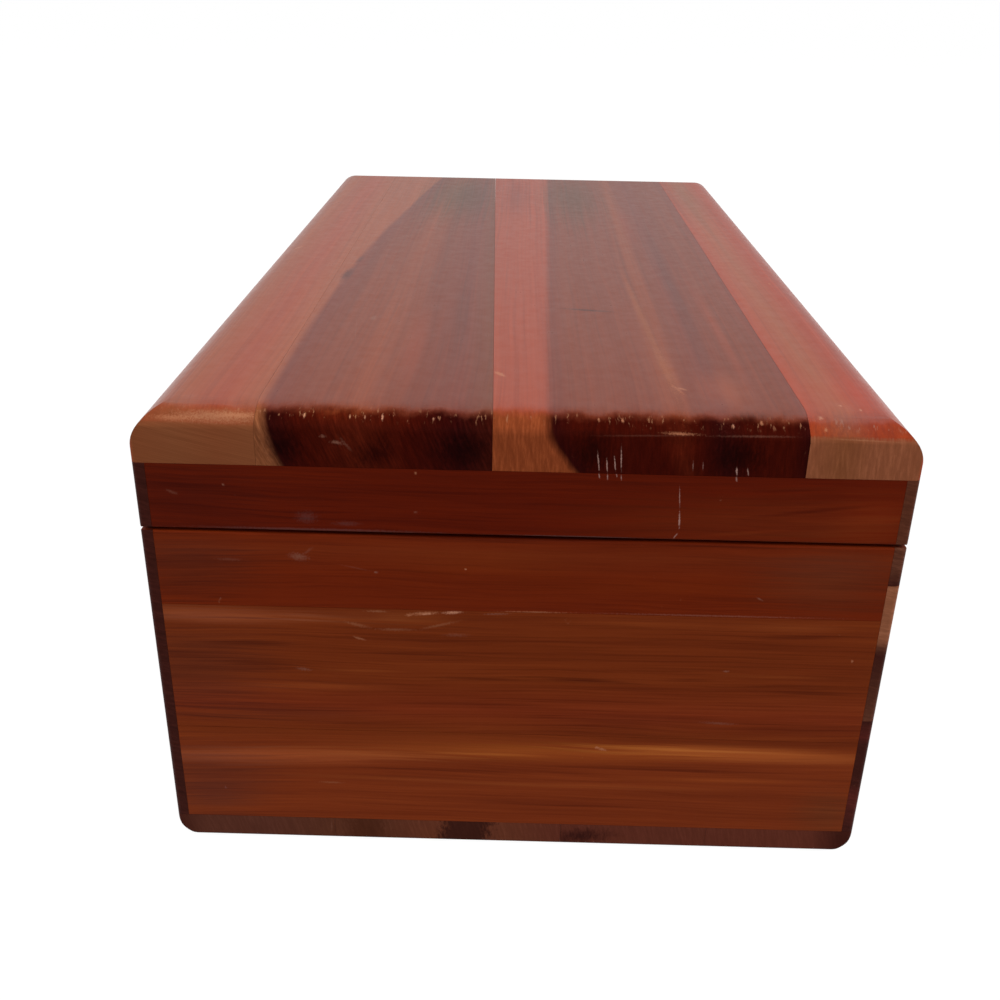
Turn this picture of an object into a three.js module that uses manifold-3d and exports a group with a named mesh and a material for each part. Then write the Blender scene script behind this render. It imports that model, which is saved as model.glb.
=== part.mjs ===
// A miniature hope chest: a hinged keepsake box glued up from solid cedar boards.
// Millimetres, +Z up. The origin is the centre of the underside; +X runs along the
// length towards the right-hand end, the front looks along -Y and the hinges are at +Y.

import * as THREE from 'three';
import { mergeVertices } from 'three/addons/utils/BufferGeometryUtils.js';
import Module from 'manifold-3d';

const wasm = await Module();
wasm.setup();

// Outside of the closed chest
const chestLength = 228.6;
const chestWidth = 127;
const chestHeight = 86.4;

// Boards, and the seam between the lid and the body
const wallThickness = 8;
const bottomThickness = 4.8;
const topThickness = 9.5;
const rimHeight = 11.7;
const seamGap = 0.5;
const glueLine = 0.04;
const rabbetLip = 2.2;

// Edges, worked after the boards are glued up
const topSideRound = 8;
const topEndRoundRun = 7;
const topEndRoundDrop = 3;
const topEndArris = 0.5;
const bottomSideRound = 5;
const bottomEndEase = 0.8;
const cornerEase = 1;
const seamEase = 0.45;

// Where the boards of each face are jointed, as shares of that face's width or height. The
// top's boards taper, so its joints have one share at the right-hand end and one at the left.
const topRightJointShares = [0.16, 0.459, 0.854];
const topLeftJointShares = [0.16, 0.421, 0.854];
const bottomJointShares = [0.234, 0.5685, 0.783];
const frontJointShare = 0.44;
const backJointShares = [0.42, 0.88];
const endJointShares = [0.34, 0.766];

// How far the lid opens, in degrees
const lidOpening = 100;

// Butt hinges: two leaves and a headed pin, let into the seam
const hingeEndInset = 44.3;
const hingeLength = 25;
const leafDepth = 6;
const leafThickness = 0.8;
const leafGap = 0.1;
const knuckleRadius = 1.6;
const knuckleGap = 0.3;
const knuckleShares = [0.32, 0.68];
const hingePinRadius = 0.8;
const hingePinClearance = 0.05;
const hingePinHeadRadius = 1.15;
const hingePinHeadHeight = 0.4;
const hingeScrewEndInset = 4.5;
const hingeScrewInset = 3.1;

// Slotted lid stay at the right-hand end: it turns on the lid and slides on a stud in the body
const stayFloorGap = 10.2;
const stayRise = 6;
const stayHalfWidth = 3.2;
const stayThickness = 1;
const stayWasherThickness = 0.8;
const stayWasherRadius = 2.9;

// Half-mortise lock in the middle of the front
const lockCaseHalfLength = 12;
const lockPlateHalfLength = 17;
const lockHeight = 18;
const lockFooting = 4.8;
const lockCaseDepth = 3;
const lockPlateThickness = 0.8;
const lockWallThickness = 0.7;
const selvageDepth = 5.6;
const lockScrewInset = 2.5;
const lockScrewMargin = 3.8;
const guidePostRadius = 0.7;
const guidePostX = 5;
const keyPinRadius = 0.6;
const keyPinLength = 2;

// Its bolt, which slides sideways into the hook of the strike
const boltThickness = 1.7;
const boltTravel = 3.4;
const boltRestGap = 0.8;
const boltNoseHeight = 2;
const boltBarHeight = 3;
const boltEndMargin = 0.9;
const talonRadius = 1.5;

// Its spring, a bent strip that bears on the bolt
const springThickness = 0.3;
const springHeight = 1.5;
const springLength = 7.4;
const springRootDrop = 1.6;

// The hooked strike, let into the underside of the lid
const strikeHalfLength = 12;
const strikeScrewSpread = 8.5;
const hookHalfLength = 2.65;
const hookDrop = 7;
const hookThickness = 1.3;
const hookToeHeight = 1.3;
const hookPlay = 0.5;

// Keyhole and the brass thread that lines it
const keyholeDrop = 12.6;
const keyholeRadius = 1.8;
const keySlotHalfWidth = 0.7;
const keySlotDrop = 3.9;
const linerWall = 0.6;
const linerDepth = 3;

// Clearances
const runningGap = 0.3;
const seatGap = 0.04;
const letInGap = 0.1;
const pilotGap = 0.15;

// Flat-headed wood screws of the hinges
const hingeScrew = {
  shank: 0.8, head: 1.5, headHeight: 0.65, length: 5.2, tip: 1.4, slotWidth: 0.45, slotDepth: 0.3,
};

// Flat-headed wood screws of the lock and the strike
const lockScrew = {
  shank: 0.7, head: 1.3, headHeight: 0.6, length: 4.6, tip: 1.2, slotWidth: 0.4, slotDepth: 0.28,
};

// Domed shoulder screws of the stay
const stayScrew = {
  shoulder: 1.2, thread: 0.9, length: 5, tip: 1.2, head: 2.5, edge: 0.4, headHeight: 1.2,
  slotWidth: 0.5, slotDepth: 0.45,
};

// Modelling: cuts run past what they cut by overrun, and points closer than weld are one
const overrun = 0.5;
const weld = 0.0001;
const arcSteps = 8;
const roundSteps = 20;
const domeSteps = 4;

// Levels and half sizes that follow
const quarterTurn = Math.PI / 2;
const halfTurn = Math.PI;
const fullTurn = 2 * Math.PI;
const halfLength = chestLength / 2;
const halfWidth = chestWidth / 2;
const wallInside = halfWidth - wallThickness;
const endInside = halfLength - wallThickness;
const rimTop = chestHeight - topThickness;
const rimBottom = rimTop - rimHeight;
const bodyTop = rimBottom - seamGap;
const seamMiddle = bodyTop + seamGap / 2;
const wallBottom = bottomThickness + glueLine;
const hingeY = halfWidth + runningGap + knuckleRadius;
const everywhere = [-chestLength, chestLength];

// The front's upper board holds the whole lock, and the two below it share the rest
const frontUpperShare = 1 - (lockHeight + lockFooting) / (bodyTop - wallBottom);
const frontJointShares = [frontJointShare * frontUpperShare, frontUpperShare];

// Finishes
const topCedar = ['#a5654f', '#6b352c', '#98583f', '#7a3b2a'];
const bottomCedar = ['#4d2a1e', '#5a3222', '#4a261b', '#55301f'];
const wallCedar = ['#572013', '#6b2c16', '#63230f'];
const rimCedar = '#5c2317';
const brass = { color: '#b08d4a', roughness: 0.35, metalness: 1 };
const steel = { color: '#8d8f92', roughness: 0.4, metalness: 1 };

function cedar(color) {
  return { color, roughness: 0.32, metalness: 0 };
}

// Limits of a box along one axis

function within(distance) {
  return [-distance, distance];
}

function around(middle, distance) {
  return [middle - distance, middle + distance];
}

function above(height) {
  return [height, chestLength];
}

function beyond(side, distance) {
  return side < 0 ? [-chestLength, -distance] : [distance, chestLength];
}

// Cuts a length into pieces at the given shares of it, with a gap at each cut
function split(from, to, shares, gap) {
  const cuts = shares.map((share) => from + share * (to - from));
  const starts = [from, ...cuts.map((cut) => cut + gap / 2)];
  const ends = [...cuts.map((cut) => cut - gap / 2), to];
  return starts.map((start, i) => [start, ends[i]]);
}

// Solids

function placed(x, y, z, turnX = 0, turnY = 0) {
  const turn = new THREE.Quaternion().setFromEuler(new THREE.Euler(turnX, turnY, 0));
  return new THREE.Matrix4().compose(new THREE.Vector3(x, y, z), turn, new THREE.Vector3(1, 1, 1));
}

const unmoved = placed(0, 0, 0);
const alongX = placed(0, 0, 0, 0, quarterTurn);

function solidFrom(geometry, placement = unmoved) {
  geometry.deleteAttribute('normal');
  geometry.deleteAttribute('uv');
  geometry.applyMatrix4(placement);
  const welded = mergeVertices(geometry, weld);
  const corners = Array.from(welded.index.array);
  const triangles = [];
  for (let i = 0; i < corners.length; i += 3) {
    const [a, b, c] = corners.slice(i, i + 3);
    if (a !== b && b !== c && c !== a) {
      triangles.push(a, b, c);
    }
  }
  return new wasm.Manifold(new wasm.Mesh({
    numProp: 3,
    vertProperties: new Float32Array(welded.attributes.position.array),
    triVerts: new Uint32Array(triangles),
  }));
}

function geometryOf(solid) {
  const { vertProperties, triVerts } = solid.getMesh();
  const geometry = new THREE.BufferGeometry();
  geometry.setAttribute('position', new THREE.BufferAttribute(vertProperties, 3));
  geometry.setIndex(new THREE.BufferAttribute(triVerts, 1));
  return geometry;
}

function moved(solid, placement) {
  return solidFrom(geometryOf(solid), placement);
}

function joined(solids) {
  return solids.reduce((whole, solid) => whole.add(solid));
}

function cutBy(solid, cutters) {
  return cutters.reduce((rest, cutter) => rest.subtract(cutter), solid);
}

// The box between the given limits; a direction without limits runs past everything
function region({ x = everywhere, y = everywhere, z = everywhere }) {
  const limits = [x, y, z];
  const geometry = new THREE.BoxGeometry(...limits.map(([low, high]) => high - low));
  geometry.translate(...limits.map(([low, high]) => (low + high) / 2));
  return solidFrom(geometry);
}

// A flat shape pushed along an axis. Across X it is drawn in (y, z), across Y in (x, z)
// and across Z in (x, y).
function prism(axis, shape, [from, to], placement = unmoved) {
  const geometry = new THREE.ExtrudeGeometry(shape, {
    depth: to - from, bevelEnabled: false, curveSegments: arcSteps,
  });
  const x = new THREE.Vector3(1, 0, 0);
  const y = new THREE.Vector3(0, 1, 0);
  const z = new THREE.Vector3(0, 0, 1);
  const turn = new THREE.Matrix4();
  if (axis === 'x') {
    turn.makeBasis(y, z, x).setPosition(from, 0, 0);
  } else if (axis === 'y') {
    turn.makeBasis(x, z, y.negate()).setPosition(0, to, 0);
  } else {
    turn.setPosition(0, 0, from);
  }
  return solidFrom(geometry, placement.clone().multiply(turn));
}

// A profile of [radius, height] pairs, bottom to top, turned about Z
function turned(profile, placement = unmoved) {
  const points = profile.map(([radius, height]) => new THREE.Vector2(radius, height));
  const geometry = new THREE.LatheGeometry(points, roundSteps);
  geometry.rotateX(quarterTurn);
  return solidFrom(geometry, placement);
}

function rod(radius, [from, to], placement = unmoved) {
  return turned([[0, from], [radius, from], [radius, to], [0, to]], placement);
}

// Outlines

// A rounded corner is an arc that runs in along the top or bottom and rises up the side. One
// that runs further than it rises meets the side in an arris, which is eased.
function round(run, rise = run, arris = 0) {
  const radius = (run ** 2 + rise ** 2) / (2 * rise);
  return { run, rise, arris, radius, start: Math.acos((run - arris) / radius) };
}

function roundedRectangle([left, right], [bottom, top], low, high) {
  const shape = new THREE.Shape();
  const lowMiddle = bottom + low.radius;
  const highMiddle = top - high.radius;
  shape.moveTo(left + low.run, bottom);
  shape.lineTo(right - low.run, bottom);
  shape.absarc(right - low.run, lowMiddle, low.radius, -quarterTurn, -low.start);
  shape.lineTo(right, bottom + low.rise + low.arris);
  shape.lineTo(right, top - high.rise - high.arris);
  shape.absarc(right - high.run, highMiddle, high.radius, high.start, quarterTurn);
  shape.absarc(left + high.run, highMiddle, high.radius, quarterTurn, halfTurn - high.start);
  shape.lineTo(left, top - high.rise - high.arris);
  shape.lineTo(left, bottom + low.rise + low.arris);
  shape.absarc(left + low.run, lowMiddle, low.radius, halfTurn + low.start, halfTurn + quarterTurn);
  return shape;
}

// An upright slot with round ends, drawn on a shape or on a hole's path
function uprightSlot(path, radius, top, bottom) {
  path.absarc(0, top, radius, 0, halfTurn);
  path.absarc(0, bottom, radius, halfTurn, fullTurn);
  path.closePath();
  return path;
}

function levelSlot(path, radius, left, right, height) {
  path.absarc(right, height, radius, -quarterTurn, quarterTurn);
  path.absarc(left, height, radius, quarterTurn, halfTurn + quarterTurn);
  path.closePath();
  return path;
}

// A round bow with a straight slot below it, grown all round by a margin
function keyholeOutline(margin) {
  const radius = keyholeRadius + margin;
  const half = keySlotHalfWidth + margin;
  const mouth = Math.asin(half / radius);
  const shape = new THREE.Shape();
  shape.absarc(0, 0, radius, mouth - quarterTurn, halfTurn + quarterTurn - mouth);
  shape.lineTo(-half, -keySlotDrop - margin);
  shape.lineTo(half, -keySlotDrop - margin);
  shape.closePath();
  return shape;
}

// Pieces

function piece(name, solid, finish) {
  const material = new THREE.MeshStandardMaterial({ ...finish, flatShading: true });
  const mesh = new THREE.Mesh(geometryOf(solid), material);
  mesh.name = name;
  return mesh;
}

// A board is shaped in the chest's frame, then hung in its group about its own middle
function addBoard(group, name, solid, color) {
  const mesh = piece(name, solid, cedar(color));
  mesh.geometry.computeBoundingBox();
  const middle = mesh.geometry.boundingBox.getCenter(new THREE.Vector3());
  mesh.geometry.translate(-middle.x, -middle.y, -middle.z);
  mesh.position.copy(middle).sub(group.position);
  group.add(mesh);
}

// A fitting is shaped in a frame of its own and placed in its group
function addFitting(group, name, solid, finish, placement = unmoved) {
  const mesh = piece(name, solid, finish);
  mesh.applyMatrix4(placement);
  group.add(mesh);
}

function addGroup(parent, x, y, z) {
  const group = new THREE.Group();
  group.position.set(x, y, z);
  parent.add(group);
  return group;
}

// Screws. The top of a flat head, or the underside of a domed one, is at the origin, and the
// screw points down.

function slotCut({ slotWidth, slotDepth }, top) {
  return region({ x: within(slotWidth / 2), z: [top - slotDepth, top + overrun] });
}

function flatScrew(screw) {
  const { shank, head, headHeight, length, tip } = screw;
  const profile = [[0, -length], [shank, tip - length], [shank, -headHeight], [head, 0], [0, 0]];
  return turned(profile).subtract(slotCut(screw, 0));
}

// The pilot hole of a flat screw, with its countersink
function flatScrewHole({ shank, head, headHeight, length }, placement) {
  const narrow = shank + pilotGap;
  const wide = head + pilotGap;
  const profile = [
    [0, -length - pilotGap], [narrow, -length - pilotGap], [narrow, -headHeight],
    [wide, 0], [wide, overrun], [0, overrun],
  ];
  return turned(profile, placement);
}

function shoulderScrew(screw, shoulderLength) {
  const { shoulder, thread, length, tip, head, edge, headHeight } = screw;
  const end = -shoulderLength - length;
  const profile = [
    [0, end], [thread, end + tip], [thread, -shoulderLength], [shoulder, -shoulderLength],
    [shoulder, 0], [head, 0],
  ];
  for (let step = 0; step < domeSteps; step += 1) {
    const angle = (quarterTurn * step) / domeSteps;
    profile.push([head * Math.cos(angle), edge + (headHeight - edge) * Math.sin(angle)]);
  }
  profile.push([0, headHeight]);
  return turned(profile).subtract(slotCut(screw, headHeight));
}

// Wood. The body and the lid are each worked to shape as one block and then taken apart into
// boards, so that every board carries its own part of the rounds.

function block(bottom, top, low, high, lowEnd, highEnd) {
  const section = roundedRectangle(within(halfWidth), [bottom, top], low, high);
  const profile = roundedRectangle(within(halfLength), [bottom, top], lowEnd, highEnd);
  const corner = round(cornerEase);
  const plan = roundedRectangle(within(halfLength), within(halfWidth), corner, corner);
  return prism('x', section, everywhere)
    .intersect(prism('y', profile, everywhere))
    .intersect(prism('z', plan, everywhere));
}

const eased = round(seamEase);
const bodyBlock = block(0, bodyTop, round(bottomSideRound), eased, round(bottomEndEase), eased);
const lidEnd = round(topEndRoundRun, topEndRoundDrop, topEndArris);
const lidBlock = block(rimBottom, chestHeight, eased, round(topSideRound), eased, lidEnd);

// A board of the front or back, rabbeted at both ends so that a thin lip covers the end boards
function longBoard(stock, side, z) {
  const rabbets = [-1, 1].map((end) => region({
    x: beyond(end, endInside - glueLine), y: within(halfWidth - rabbetLip),
  }));
  return cutBy(stock.intersect(region({ y: beyond(side, wallInside), z })), rabbets);
}

// A board of an end, set between the lips of the front and back
function endBoard(stock, end, z) {
  const y = within(halfWidth - rabbetLip - glueLine);
  return stock.intersect(region({ x: beyond(end, endInside), y, z }));
}

// A board of the top or the bottom, which runs the whole length. Its two sides are given where
// they meet the left-hand and the right-hand end, and its outline runs on past both ends.
function flatBoard(stock, left, right, z) {
  const past = 1 + overrun / halfLength;
  const sideLine = (side) => {
    const middle = (left[side] + right[side]) / 2;
    const rise = ((right[side] - left[side]) / 2) * past;
    return [[-halfLength * past, middle - rise], [halfLength * past, middle + rise]];
  };
  const corners = [...sideLine(0), ...sideLine(1).reverse()];
  const outline = new THREE.Shape(corners.map(([x, y]) => new THREE.Vector2(x, y)));
  return stock.intersect(prism('z', outline, z));
}

// Hinges, each in a frame on its own axis. side is 1 for the lid's leaf and -1 for the body's.

const leafEdge = -runningGap - knuckleRadius;

function leafHeights(side) {
  const [low, high] = [leafGap / 2, leafGap / 2 + leafThickness];
  return side < 0 ? [-high, -low] : [low, high];
}

function leafScrewPlaces(side) {
  const turn = side < 0 ? 0 : halfTurn;
  const y = leafEdge - hingeScrewInset;
  const x = hingeLength / 2 - hingeScrewEndInset;
  return [-1, 1].map((end) => placed(end * x, y, (side * leafGap) / 2, turn));
}

function hingeLeaf(side) {
  const knuckles = split(-hingeLength / 2, hingeLength / 2, knuckleShares, knuckleGap)
    .filter((_, i) => (i % 2 === 0) === (side < 0));
  const z = leafHeights(side);
  const plate = region({ x: within(hingeLength / 2), y: [leafEdge - leafDepth, leafEdge], z });
  const curls = knuckles.flatMap((x) => [
    region({ x, y: [leafEdge - leafDepth / 2, 0], z }),
    rod(knuckleRadius, x, alongX),
  ]);
  const bore = rod(hingePinRadius + hingePinClearance, within(hingeLength), alongX);
  const screwHoles = leafScrewPlaces(side).map((place) => flatScrewHole(hingeScrew, place));
  return cutBy(joined([plate, ...curls]), [bore, ...screwHoles]);
}

function hingePin() {
  const end = hingeLength / 2 + letInGap;
  const head = [end, end + hingePinHeadHeight];
  return joined([
    rod(hingePinRadius, within(end + hingePinHeadHeight / 2), alongX),
    rod(hingePinHeadRadius, head, alongX),
    rod(hingePinHeadRadius, [-head[1], -head[0]], alongX),
  ]);
}

// The bed and the pilot holes cut for one leaf, in the chest's frame
function leafRecess(side, middle) {
  const [low, high] = leafHeights(side);
  const bed = region({
    x: around(middle, hingeLength / 2 + letInGap),
    y: above(hingeY + leafEdge - leafDepth - letInGap),
    z: side < 0 ? [seamMiddle + low - seatGap, seamMiddle] : [seamMiddle, seamMiddle + high + seatGap],
  });
  const axis = placed(middle, hingeY, seamMiddle);
  const places = leafScrewPlaces(side).map((place) => axis.clone().multiply(place));
  return joined([bed, ...places.map((place) => flatScrewHole(hingeScrew, place))]);
}

// Lid stay. Its two pivots lie equally far from the hinges' axis, one as far above the seam as
// the other is below it, so the arm turns half as far as the lid. The closed arm hangs down to
// its gap above the bottom, and that sets how far the pivots lie from the hinges.

const stayNear = 2 * stayRise;
const stayFar = seamMiddle + stayRise - bottomThickness - stayFloorGap - stayHalfWidth;
const stayHalfAngle = THREE.MathUtils.degToRad(lidOpening / 2);
const stayOffset = (stayFar / 2 - stayRise * Math.cos(stayHalfAngle)) / Math.sin(stayHalfAngle);
const stayY = hingeY - stayOffset;
const stayWasherX = endInside - seatGap - stayWasherThickness;
const stayArmX = stayWasherX - runningGap - stayThickness;
const stayHeadX = stayArmX - runningGap;
const stayShoulder = endInside - seatGap - stayHeadX;

function stayArm() {
  const outline = uprightSlot(new THREE.Shape(), stayHalfWidth, 0, -stayFar);
  const slot = uprightSlot(new THREE.Path(), stayScrew.shoulder + runningGap, -stayNear, -stayFar);
  const eye = new THREE.Path();
  eye.absarc(0, 0, stayScrew.shoulder + letInGap, 0, fullTurn);
  outline.holes.push(slot, eye);
  return prism('x', outline, [0, stayThickness]);
}

function stayWasher() {
  const disc = rod(stayWasherRadius, [0, stayWasherThickness], alongX);
  return disc.subtract(rod(stayScrew.shoulder + letInGap, everywhere, alongX));
}

function stayPilot(z) {
  const depth = [-stayShoulder - stayScrew.length - pilotGap, overrun - stayShoulder];
  return rod(stayScrew.thread + pilotGap, depth, placed(stayHeadX, stayY, z, 0, -quarterTurn));
}

// Lock, in a frame at the middle of the front's inner top edge: -Y goes into the wood

const caseBack = -lockPlateThickness - seatGap;
const caseFront = caseBack - lockCaseDepth;
const caseFloor = caseFront + lockWallThickness;
const caseInside = lockCaseHalfLength - lockWallThickness;
const boltLayer = [caseFloor + runningGap, caseFloor + runningGap + boltThickness];
const hookY = (boltLayer[0] + boltLayer[1]) / 2;
const hookTip = seamGap - hookDrop;
const barTop = hookTip - runningGap;
const barBottom = barTop - boltBarHeight;
const barMiddle = (barTop + barBottom) / 2;
const noseBottom = hookTip + hookToeHeight + runningGap;
const noseTip = -hookHalfLength - boltRestGap;
const facingRoom = -quarterTurn;

function lockScrewPlaces() {
  const x = lockPlateHalfLength - lockScrewInset;
  const heights = [-lockScrewMargin, lockScrewMargin - lockHeight];
  return heights.flatMap((z) => [-1, 1].map((side) => placed(side * x, 0, z, facingRoom)));
}

function lockCase() {
  const box = region({ x: within(lockCaseHalfLength), y: [caseFront, caseBack], z: [-lockHeight, 0] });
  const selvage = region({
    x: within(lockPlateHalfLength), y: [-selvageDepth, 0], z: [-lockPlateThickness, 0],
  });
  const cavity = region({
    x: within(caseInside), y: above(caseFloor), z: [lockWallThickness - lockHeight, -lockPlateThickness],
  });
  const hookSlot = region({
    x: within(hookHalfLength + runningGap), y: around(hookY, hookThickness / 2 + hookPlay),
    z: above(-2 * lockPlateThickness),
  });
  const keyholePlace = placed(0, 0, -keyholeDrop);
  const keyhole = prism('y', keyholeOutline(0), around(caseFloor, lockCaseDepth), keyholePlace);
  const postSpan = [caseFront + lockWallThickness / 2, boltLayer[1]];
  const post = rod(guidePostRadius, postSpan, placed(guidePostX, 0, barMiddle, facingRoom));
  return cutBy(joined([box, selvage]), [cavity, hookSlot, keyhole]).add(post);
}

function lockCover() {
  const plate = region({
    x: within(lockPlateHalfLength), y: [-lockPlateThickness, 0],
    z: [-lockHeight, -lockPlateThickness - seatGap],
  });
  const pinSpan = [-lockPlateThickness - keyPinLength, -lockPlateThickness / 2];
  const keyPin = rod(keyPinRadius, pinSpan, placed(0, 0, -keyholeDrop, facingRoom));
  const holes = lockScrewPlaces().map((place) => flatScrewHole(lockScrew, place));
  return cutBy(plate.add(keyPin), holes);
}

// The bolt's bar lies under the hook, and its nose stands beside the hook's notch
function lockBolt() {
  const left = boltEndMargin - caseInside;
  const right = caseInside - boltTravel - boltEndMargin;
  const shoulder = -hookHalfLength - runningGap - boltTravel;
  const shape = new THREE.Shape();
  shape.moveTo(left, noseBottom + boltNoseHeight);
  shape.lineTo(left, barBottom);
  shape.absarc(-boltTravel / 2, barBottom, talonRadius, halfTurn, 0, true);
  shape.lineTo(right, barBottom);
  shape.lineTo(right, barTop);
  shape.lineTo(shoulder, barTop);
  shape.lineTo(shoulder, noseBottom);
  shape.lineTo(noseTip, noseBottom);
  shape.lineTo(noseTip, noseBottom + boltNoseHeight);
  shape.closePath();
  const slotRadius = guidePostRadius + runningGap;
  const slotStart = guidePostX - boltTravel;
  shape.holes.push(levelSlot(new THREE.Path(), slotRadius, slotStart, guidePostX, barMiddle));
  return prism('y', shape, boltLayer);
}

function lockSpring() {
  const root = { x: caseInside - runningGap, z: -lockPlateThickness - springRootDrop };
  const tip = { x: root.x - springLength, z: barTop + runningGap };
  const bend = (root.x + tip.x) / 2;
  const shape = new THREE.Shape();
  shape.moveTo(root.x, root.z);
  shape.quadraticCurveTo(bend, root.z, tip.x, tip.z);
  shape.lineTo(tip.x, tip.z + springThickness);
  shape.quadraticCurveTo(bend, root.z + springThickness, root.x, root.z + springThickness);
  shape.closePath();
  return prism('y', shape, around(hookY, springHeight / 2));
}

function keyholeLiner() {
  const span = [-wallThickness, linerDepth - wallThickness];
  const place = placed(0, 0, -keyholeDrop);
  return prism('y', keyholeOutline(linerWall), span, place)
    .subtract(prism('y', keyholeOutline(0), around(-wallThickness, wallThickness), place));
}

// The pocket for the lock and the way through for the key, in the lock's frame
function lockRecess() {
  const wide = within(lockPlateHalfLength + letInGap);
  const down = above(-lockHeight - letInGap);
  const keyWay = keyholeOutline(linerWall + letInGap);
  return joined([
    region({ x: within(lockCaseHalfLength + letInGap), y: above(caseFront - seatGap), z: down }),
    region({ x: wide, y: above(caseBack), z: down }),
    region({ x: wide, y: above(-selvageDepth - letInGap), z: above(-lockPlateThickness - seatGap) }),
    prism('y', keyWay, within(2 * wallThickness), placed(0, 0, -keyholeDrop)),
    ...lockScrewPlaces().map((place) => flatScrewHole(lockScrew, place)),
  ]);
}

// Strike, in a frame at the middle of the lid front's inner lower edge: +Z goes into the wood

function strikeScrewPlaces() {
  const y = -selvageDepth / 2;
  return [-1, 1].map((side) => placed(side * strikeScrewSpread, y, 0, halfTurn));
}

function strikePlate() {
  const toe = hookToeHeight - hookDrop;
  const notchTop = toe + boltNoseHeight + 2 * runningGap;
  const plate = region({ x: within(strikeHalfLength), y: [-selvageDepth, 0], z: [0, lockPlateThickness] });
  const y = around(hookY, hookThickness / 2);
  const hook = region({ x: within(hookHalfLength), y, z: [-hookDrop, lockPlateThickness / 2] });
  const notch = region({ x: [-chestLength, noseTip + boltTravel + runningGap], z: [toe, notchTop] });
  const holes = strikeScrewPlaces().map((place) => flatScrewHole(lockScrew, place));
  return cutBy(plate.add(hook), [notch, ...holes]);
}

function strikeRecess() {
  const bed = region({
    x: within(strikeHalfLength + letInGap), y: above(-selvageDepth - letInGap),
    z: [-overrun, lockPlateThickness + seatGap],
  });
  return joined([bed, ...strikeScrewPlaces().map((place) => flatScrewHole(lockScrew, place))]);
}

// Assembly

const chest = new THREE.Group();
const body = addGroup(chest, 0, 0, 0);
const lid = addGroup(chest, 0, hingeY, seamMiddle);
const hingeX = halfLength - hingeEndInset;
const hinges = [{ side: 'right', x: hingeX }, { side: 'left', x: -hingeX }];
const ends = [{ side: 'right', end: 1 }, { side: 'left', end: -1 }];
const levels = ['lower', 'middle', 'upper'];

function addBottom() {
  split(-halfWidth, halfWidth, bottomJointShares, glueLine).forEach((y, i) => {
    const board = flatBoard(bodyBlock, y, y, [-overrun, bottomThickness]);
    addBoard(body, `bottom_board_${i + 1}`, board, bottomCedar[i]);
  });
}

// The boards of one wall, from the bottom up, with what the fittings take out of the upper one
function addWall(name, jointShares, shapeBoard, cutters) {
  split(wallBottom, bodyTop, jointShares, glueLine).forEach((z, i) => {
    const board = shapeBoard(z);
    const isUpper = i === jointShares.length;
    addBoard(body, `${name}_${levels[i]}`, isUpper ? cutBy(board, cutters) : board, wallCedar[i]);
  });
}

function addWalls() {
  const lockPocket = moved(lockRecess(), placed(0, -wallInside, bodyTop));
  addWall('front_wall', frontJointShares, (z) => longBoard(bodyBlock, -1, z), [lockPocket]);
  const leafBeds = hinges.map(({ x }) => leafRecess(-1, x));
  addWall('back_wall', backJointShares, (z) => longBoard(bodyBlock, 1, z), leafBeds);
  for (const { side, end } of ends) {
    const pilots = end > 0 ? [stayPilot(seamMiddle - stayRise)] : [];
    addWall(`${side}_end`, endJointShares, (z) => endBoard(bodyBlock, end, z), pilots);
  }
}

function addLidBoards() {
  const leftSides = split(-halfWidth, halfWidth, topLeftJointShares, glueLine);
  const rightSides = split(-halfWidth, halfWidth, topRightJointShares, glueLine);
  rightSides.forEach((right, i) => {
    const board = flatBoard(lidBlock, leftSides[i], right, above(rimTop));
    addBoard(lid, `lid_top_board_${i + 1}`, board, topCedar[i]);
  });
  const z = [rimBottom - overrun, rimTop - glueLine];
  const strikePocket = moved(strikeRecess(), placed(0, -wallInside, rimBottom));
  addBoard(lid, 'lid_rim_front', cutBy(longBoard(lidBlock, -1, z), [strikePocket]), rimCedar);
  const leafBeds = hinges.map((hinge) => leafRecess(1, hinge.x));
  addBoard(lid, 'lid_rim_back', cutBy(longBoard(lidBlock, 1, z), leafBeds), rimCedar);
  for (const { side, end } of ends) {
    const pilots = end > 0 ? [stayPilot(seamMiddle + stayRise)] : [];
    addBoard(lid, `lid_rim_${side}_end`, cutBy(endBoard(lidBlock, end, z), pilots), rimCedar);
  }
}

function addHinge({ side, x }) {
  const onBody = addGroup(body, x, hingeY, seamMiddle);
  const onLid = addGroup(lid, x, 0, 0);
  addFitting(onBody, `hinge_${side}_body_leaf`, hingeLeaf(-1), brass);
  addFitting(onBody, `hinge_${side}_pin`, hingePin(), steel);
  addFitting(onLid, `hinge_${side}_lid_leaf`, hingeLeaf(1), brass);
  leafScrewPlaces(-1).forEach((place, i) => {
    addFitting(onBody, `hinge_${side}_body_screw_${i + 1}`, flatScrew(hingeScrew), brass, place);
  });
  leafScrewPlaces(1).forEach((place, i) => {
    addFitting(onLid, `hinge_${side}_lid_screw_${i + 1}`, flatScrew(hingeScrew), brass, place);
  });
}

function addStay() {
  const onLid = addGroup(lid, 0, stayY - hingeY, stayRise);
  const onBody = addGroup(body, 0, stayY, seamMiddle - stayRise);
  const screwPlace = placed(stayHeadX, 0, 0, 0, -quarterTurn);
  addFitting(onLid, 'stay_arm', stayArm(), brass, placed(stayArmX, 0, 0));
  for (const [group, name] of [[onLid, 'lid'], [onBody, 'body']]) {
    addFitting(group, `stay_${name}_washer`, stayWasher(), brass, placed(stayWasherX, 0, 0));
    addFitting(group, `stay_${name}_screw`, shoulderScrew(stayScrew, stayShoulder), brass, screwPlace);
  }
}

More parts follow.
